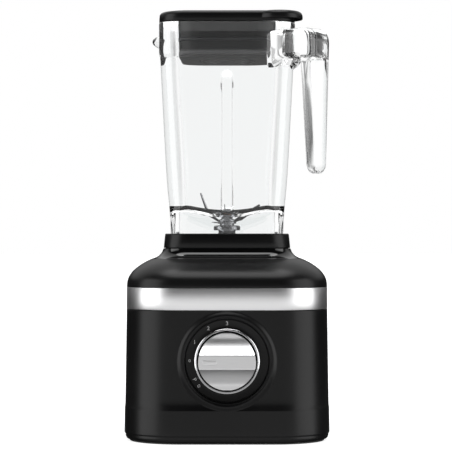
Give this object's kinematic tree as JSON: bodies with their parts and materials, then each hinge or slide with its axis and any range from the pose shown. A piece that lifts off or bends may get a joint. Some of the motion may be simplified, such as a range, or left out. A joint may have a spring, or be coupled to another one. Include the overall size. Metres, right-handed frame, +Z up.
{
  "type": "countertop blender",
  "caption": "Countertop blender: rounded black motor base with a metal band and front dial, clear square jar with an open handle, bent blade set and black lid with a centre cap.",
  "frame": {"origin": "on the drive axis, at the surface the blender stands on", "axes": "+Z up along the drive axis, -Y towards the dial, +X to the right seen from the front"},
  "size_m": [0.1826, 0.2152, 0.386],
  "materials": {
    "black_plastic": "satin moulded",
    "gloss_black": "polished",
    "aluminium": "brushed along its length",
    "satin_metal": "satin",
    "chrome": "polished",
    "steel": "ground",
    "zinc": "zinc plated",
    "rubber": "soft moulded",
    "silicone": "smooth silicone",
    "clear": "clear moulded plastic",
    "lamination": "laminated",
    "copper": "enamelled copper",
    "brass": "machined",
    "bronze": "sintered",
    "carbon": "pressed carbon",
    "board": "solder mask",
    "nylon": "natural nylon"
  },
  "bodies": {
    "base": {"lower_housing": "black_plastic", "upper_housing": "black_plastic", "trim_band": "aluminium", "neck_ring": "gloss_black", "deck_seal": "silicone", "base_plate": "black_plastic", "foot_ring": "rubber", "base_screws": "zinc", "cord_gland": "rubber", "dial_bezel": "chrome", "upper_motor_bracket": "zinc", "lower_motor_bracket": "zinc", "stator_core": "lamination", "field_coils": "copper", "brush_holders": "nylon", "carbon_brushes": "carbon", "brush_springs": "brass", "upper_bearing": "steel", "lower_bearing": "steel", "motor_mounts": "rubber", "motor_screws": "zinc", "fan_shroud": "black_plastic", "control_board": "board", "board_screws": "nylon", "speed_switch": "nylon", "switch_nut": "zinc"},
    "rotor": {"motor_shaft": "steel", "armature_core": "lamination", "armature_windings": "copper", "commutator": "copper", "cooling_fan": "nylon", "drive_coupling": "rubber"},
    "dial": {"knob": "satin_metal", "knob_core": "black_plastic", "knob_spindle": "steel", "knob_clip": "steel"},
    "jar_assembly": {"jar": "clear", "jar_collar": "black_plastic", "collar_screws": "steel", "jar_seal": "silicone", "bearing_housing": "steel", "shaft_bushes": "bronze", "shaft_seal": "silicone", "housing_nut": "steel"},
    "blade_set": {"blade_shaft": "steel", "lower_blade": "steel", "upper_blade": "steel", "blade_washer": "steel", "blade_nut": "steel", "driven_coupling": "zinc"},
    "lid_assembly": {"lid": "black_plastic", "lid_plug": "black_plastic", "filler_tube": "black_plastic", "lid_gaskets": "silicone"},
    "cap": {"ingredient_cap": "black_plastic"}
  },
  "joints": [
    {"name": "rotor_spin", "type": "hinge", "parent": "base", "child": "rotor", "pos_m": [0, 0, 0.1], "axis": [0, 0, 1], "continuous": true},
    {"name": "dial_turn", "type": "hinge", "parent": "base", "child": "dial", "pos_m": [0, -0.1, 0.0724], "axis": [0, 1, 0], "range_deg": [-30, 90]},
    {"name": "jar_lift", "type": "slide", "parent": "base", "child": "jar_assembly", "axis": [0, 0, 1], "range_m": [0, 0.12]},
    {"name": "blade_spin", "type": "hinge", "parent": "jar_assembly", "child": "blade_set", "pos_m": [0, 0, 0.18], "axis": [0, 0, 1], "continuous": true},
    {"name": "lid_lift", "type": "slide", "parent": "jar_assembly", "child": "lid_assembly", "axis": [0, 0, 1], "range_m": [0, 0.08]},
    {"name": "cap_lift", "type": "slide", "parent": "lid_assembly", "child": "cap", "axis": [0, 0, 1], "range_m": [0, 0.06]}
  ],
  "couplings": [
    {"joint": "blade_spin", "follows": "rotor_spin", "ratio": 1}
  ]
}
